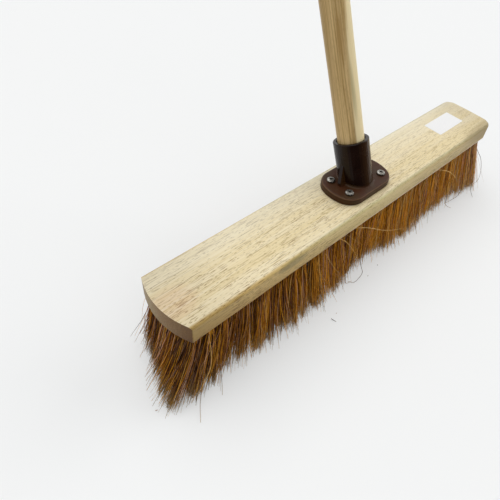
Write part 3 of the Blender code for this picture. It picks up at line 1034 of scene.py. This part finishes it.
def fibre_path(root, tip, bow, wave, phase):
    """Points from root to tip, with a sideways bow and a small wave."""
    path = []
    for i in range(fibre_points):
        share = i / (fibre_points - 1)
        spread = share ** lean_power
        point = Vector((
            root.x + (tip.x - root.x) * spread,
            root.y + (tip.y - root.y) * spread,
            root.z + (tip.z - root.z) * share,
        ))
        point += bow * math.sin(math.pi * share)
        point += wave * math.sin(phase + wave_turn * share) * share
        path.append(point)
    return path


def sideways(source, size):
    """A random level vector of about this size."""
    angle = source.uniform(0, math.tau)
    return Vector((math.cos(angle), math.sin(angle), 0)) * size


# %% [markdown]
# Fibre from one hole sticks together, so each bundle is made of a few clumps. A clump
# has its own root, lean, bow and tone, and each of its fibres strays a little from
# these. Nearly a third of the fibres stray twice as far. The tones grow lighter from
# the left end, which lies in the shade, to the right end.

# %% One bundle of fibre
clump_root_share, fibre_root_share, tip_root_share = 0.8, 0.4, 0.5
clump_spread, clump_bow_size = 0.0030, 0.0012
tidy_spread, loose_spread, loose_share = 0.0030, 0.0066, 0.30
fibre_bow_size, fibre_wave_size, end_bulge = 0.0018, 0.0011, 0.015
trim_scatter, highest_tip = 0.0036, 0.012
middle_tone, tone_slope = 0.49, 0.80
bundle_tones, clump_tones, fibre_tones = 0.03, 0.06, 0.30


def fill_bundle(fibres, centre, count, source):
    """Add the fibres of one bundle, in a few clumps that lean together."""
    lean = flare_at(centre.x, centre.y)
    at_right = centre.x > 0
    nearness = (abs(centre.x) / (stock_length / 2)) ** 6
    bulge = Vector((end_bulge * nearness if at_right else 0, 0, 0))
    husk_gain = nearness if at_right else nearness * left_husk_share
    husky = husk_share[0] + (husk_share[1] - husk_share[0]) * husk_gain
    bundle_tone = source.gauss(0.0, bundle_tones) + tone_slope * centre.x / stock_length
    for clump in range(clumps_per_bundle):
        clump_shift = sideways(source, source.uniform(0.0, clump_spread))
        clump_tone = source.gauss(middle_tone, clump_tones) + bundle_tone
        clump_bow = sideways(source, abs(source.gauss(0, clump_bow_size)))
        clump_root = sideways(source, bundle_radius * math.sqrt(source.random())) * clump_root_share
        for number in range(count // clumps_per_bundle):
            start = clump_root + sideways(source, bundle_radius * fibre_root_share * source.random())
            root = Vector((centre.x + start.x, centre.y + start.y, stock_underside + root_depth))
            rise = min(abs(source.gauss(0, trim_scatter)), highest_tip)
            spread = loose_spread if source.random() < loose_share else tidy_spread
            shift = lean + clump_shift + sideways(source, abs(source.gauss(0, spread)))
            tip = root + shift + start * tip_root_share
            tip.z = rise
            bow = bulge + clump_bow + sideways(source, abs(source.gauss(0, fibre_bow_size)))
            wave = sideways(source, source.uniform(0, fibre_wave_size))
            tone = lightest_tone * min(max(clump_tone + source.gauss(0, fibre_tones), 0), 1)
            if source.random() < husky:
                tone = source.uniform(first_husk_tone, 1)
            path = fibre_path(root, tip, bow, wave, source.uniform(0, math.tau))
            path = [point + head_centre for point in path]
            thickness = coarse_radius if source.random() < coarse_share else fibre_radius
            fibres.add(path, source.uniform(*thickness), tone, source.uniform(0, math.tau))


# %% [markdown]
# A few hairs stray from every outer bundle. They are thin, bend far more than the rest,
# and end up to 20 mm outside the brush, on the floor or just above it. Along the sides
# some have slipped and lie across their neighbours. The left end is calmer behind its
# front corner.

# %% Stray hairs
strays_per_bundle = 11
stray_radius = (0.00013, 0.00023)
stray_reach, stray_scatter = 0.0054, 0.004
stray_limit, front_limit = 0.280, 0.062
stray_rise, stray_rise_scatter, lowest_stray = 0.004, 0.006, 0.0003
stray_bow, stray_bow_scatter, stray_wave = (-0.001, 0.004), 0.002, (0.0003, 0.0012)
stray_tones = (0.03, 0.10, 0.20, 0.45, 0.8, 0.95)
crossing_share, crossing_out = 0.12, 0.006
crossing_slip, crossing_rise = (-0.035, 0.035), (0.02, 0.05)
calm_share, calm_from = 0.1, -0.015


def add_strays(fibres, centre, outward, source):
    """Thin, bent hairs round one outer bundle."""
    lean = flare_at(centre.x, centre.y)
    calm = calm_share if centre.x < 0 and centre.y > calm_from else 1
    for number in range(strays_per_bundle):
        root = centre + sideways(source, bundle_radius * source.random())
        root.z = stock_underside + root_depth
        crosses = source.random() < crossing_share
        if crosses and outward.x == 0:
            slip = Vector((source.uniform(*crossing_slip), 0, 0)) + outward * crossing_out
            rise = source.uniform(*crossing_rise)
        else:
            slip = outward * calm * abs(source.gauss(0, stray_reach))
            slip += sideways(source, stray_scatter)
            rise = max(source.gauss(stray_rise, stray_rise_scatter), lowest_stray)
        tip = root + lean + slip
        tip.x = min(max(tip.x, -stray_limit), stray_limit)
        tip.y = max(tip.y, -front_limit)
        tip.z = rise
        bow = outward * source.uniform(*stray_bow) + sideways(source, stray_bow_scatter)
        wave = sideways(source, source.uniform(*stray_wave))
        path = fibre_path(root, tip, bow, wave, source.uniform(0, math.tau))
        path = [point + head_centre for point in path]
        tone = source.choice(stray_tones)
        fibres.add(path, source.uniform(*stray_radius), tone, source.uniform(0, math.tau))


# %% [markdown]
# Now every tuft of the CAD is replaced. The four bundles stand a quarter of the pitch
# from its middle, and those at the right end are kept under the shorter stock. One
# random source with a fixed seed serves them all, so each run gives the same brush.

# %% Bristles
source = random.Random(7)
bundle_offsets = (-0.25, 0.25)
bristle_faces = 0
for row, row_name in enumerate(row_names):
    for column in range(tuft_columns):
        fibres = FibreMesh()
        x = (column - (tuft_columns - 1) / 2) * pitch_x
        y = (row - (len(row_names) - 1) / 2) * pitch_y
        for step_x in bundle_offsets:
            for step_y in bundle_offsets:
                centre = Vector((x + step_x * pitch_x, y + step_y * pitch_y, 0))
                centre.x = min(centre.x, stock_high.x - head_centre.x - right_margin)
                at_end = abs(centre.x) > (stock_length / 2 - tuft_end_margin) - pitch_x / 2
                at_side = abs(centre.y) > (stock_width / 2 - tuft_side_margin)
                outward = Vector((
                    math.copysign(1, centre.x) if at_end else 0,
                    math.copysign(1, centre.y) if at_side else 0,
                    0,
                ))
                if outward.length > 0:
                    fill_bundle(fibres, centre, outer_fibres, source)
                    add_strays(fibres, centre, outward.normalized(), source)
                else:
                    fill_bundle(fibres, centre, inner_fibres, source)
        piece = fibres.build(f"coir_{row_name}_{column + 1:02d}")
        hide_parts(f"tuft_{row_name}_{column + 1:02d}")
        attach(piece, "root")
        bristle_faces += len(fibres.faces)
print("fibre faces:", bristle_faces)

# %% [markdown]
# A dozen longer, coarser hairs catch the eye in the photograph. Some hang out at the
# front, some lie across their neighbours, and one makes a loop at the right end. Each
# has its tone and a few places in millimetres from the centre of the head and from the
# floor. The first place is its root. A few crumbs of fibre have dropped on the floor.

# %% Places of loose hairs and crumbs
loose_hairs = (
    (0.10, (-238, -26, 72), (-242, -40, 40), (-246, -48, 15), (-252, -54, 3), (-261, -66, 1)),
    (0.05, (-216, -28, 72), (-220, -40, 42), (-222, -46, 19), (-224, -50, 3), (-231, -59, 1)),
    (0.80, (-222, -26, 72), (-228, -40, 56), (-234, -47, 39), (-246, -50, 24), (-249, -46, 4)),
    (0.84, (-44, -28, 72), (-20, -40, 68), (3, -47, 55), (26, -49, 42), (48, -49, 30)),
    (0.80, (-62, -30, 73), (-55, -39, 70), (-46, -44, 57), (-34, -48, 36)),
    (0.03, (-31, -30, 72), (-29, -51, 25), (-25, -54, 11), (-30, -54, 3), (-37, -53, 1),
     (-42, -48, 3)),
    (0.10, (-56, -30, 72), (-52, -48, 27), (-44, -46, 6), (-45, -49, 2), (-37, -50, 1)),
    (0.02, (230, -24, 72), (240, -34, 50), (245, -42, 38), (247, -49, 20), (243, -52, 7),
     (236, -50, 2)),
    (0.02, (214, -28, 72), (220, -48, 30), (218, -55, 7), (214, -61, 2), (211, -65, 1)),
    (0.84, (118, -28, 72), (136, -41, 69), (147, -45, 62), (163, -47, 48), (170, -48, 40)),
    (0.05, (198, -28, 72), (197, -47, 24), (195, -50, 5), (180, -48, 1), (166, -46, 1)),
    (0.08, (150, -28, 72), (153, -48, 27), (160, -50, 6), (166, -57, 1)),
)
crumbs = (
    (0.0, (-92, -69, 0.3), (-92, -72, 0.6), (-91, -75, 0.3)),
    (0.0, (-87, -54, 0.3), (-86, -53, 0.3)),
    (0.2, (-83, -68, 0.3), (-82, -68, 0.3)),
    (0.0, (6, -55, 0.3), (7, -54, 0.3)),
    (0.1, (-16, -57, 0.3), (-15, -58, 0.3)),
    (0.2, (-283, -31, 0.3), (-281, -32, 0.3)),
)
print("loose hairs and crumbs:", len(loose_hairs), len(crumbs))

# %% [markdown]
# A smooth curve that passes through all the places of a hair joins them. The crumbs
# belong to the studio and not to the broom, so they are not attached to it, while the
# hairs ride with the bristles.

# %% Loose hairs and crumbs
hair_radius, crumb_radius = 0.00034, 0.00035
curve_steps = 4


def smooth_path(places):
    """A Catmull-Rom curve through places in millimetres from the centre of the head."""
    knots = [head_centre + Vector(place) / 1000 for place in places]
    knots = [knots[0], *knots, knots[-1]]
    path = [knots[0]]
    for before, start, stop, after in zip(knots, knots[1:], knots[2:], knots[3:]):
        for step in range(1, curve_steps + 1):
            t = step / curve_steps
            path.append(
                0.5 * (2 * start + (stop - before) * t
                       + (2 * before - 5 * start + 4 * stop - after) * t ** 2
                       + (3 * start - before - 3 * stop + after) * t ** 3)
            )
    return path


for name, table, radius in (
    ("loose_hairs", loose_hairs, hair_radius), ("crumbs", crumbs, crumb_radius),
):
    fibres = FibreMesh()
    for tone, *places in table:
        fibres.add(smooth_path(places), radius, tone, source.uniform(0, math.tau))
    piece = fibres.build(name)
    if name == "crumbs":
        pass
    else:
        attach(piece, "root")
    print("faces of the", name, len(fibres.faces))

# %% [markdown]
# ## Paper label
#
# A small white sticker lies on the top near the right end. It is a thin sheet of matt
# paper with slightly rounded corners. It could be a plane, but paper has an edge that
# catches light, so its outline is drawn once and raised by the thickness of the sheet.

# %% Label sheet
label_low = Vector((0.160, -0.008))
label_high = Vector((0.213, 0.017))
label_thickness, label_lift = 0.00015, 0.00002
label_corner, corner_steps = 0.001, 4

middle = (label_low + label_high) / 2
half = (label_high - label_low) / 2 - Vector((label_corner, label_corner))
outline = []
for corner_x, corner_y, first_turn in ((1, 1, 0), (-1, 1, 1), (-1, -1, 2), (1, -1, 3)):
    corner = middle + Vector((half.x * corner_x, half.y * corner_y))
    for step in range(corner_steps + 1):
        angle = math.pi / 2 * (first_turn + step / corner_steps)
        outline.append(corner + Vector((math.cos(angle), math.sin(angle))) * label_corner)
label_foot = stock_top + label_lift
heights = (label_foot, label_foot + label_thickness)
points = [head_centre + Vector((p.x, p.y, height)) for height in heights for p in outline]
count = len(outline)
faces = [tuple(range(count, 2 * count)), tuple(reversed(range(count)))]
faces += [(i, (i + 1) % count, (i + 1) % count + count, i + count) for i in range(count)]
label_mesh = bpy.data.meshes.new("paper_label")
label_mesh.from_pydata(points, [], faces)
label = bpy.data.objects.new("paper_label", label_mesh)
bpy.context.scene.collection.objects.link(label)
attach(label, "root")
print("label, mm:", [round(1000 * size, 1) for size in label_high - label_low])

# %% [markdown]
# The paper is matt and almost white. Faint clouds of pulp keep it from looking like a
# cut-out.

# %% Label finish
pulp_mm = 1.5
label_material, tree, shader = new_material("label_paper")
coordinates = add_node(tree, "TexCoord")
pulp = add_node(
    tree, "TexNoise",
    {"Vector": coordinates.outputs["Object"], "Scale": per_metre(pulp_mm), "Detail": 4.0},
)
colour = add_node(
    tree, "Mix", {"Factor": pulp, "A": linear("F1F1F0"), "B": linear("E4E4E5")}, data_type="RGBA",
)
set_inputs(tree, shader, {"Base Color": colour, "Roughness": 0.6})
label_mesh.materials.append(label_material)
print("finish of the label:", label_material.name)
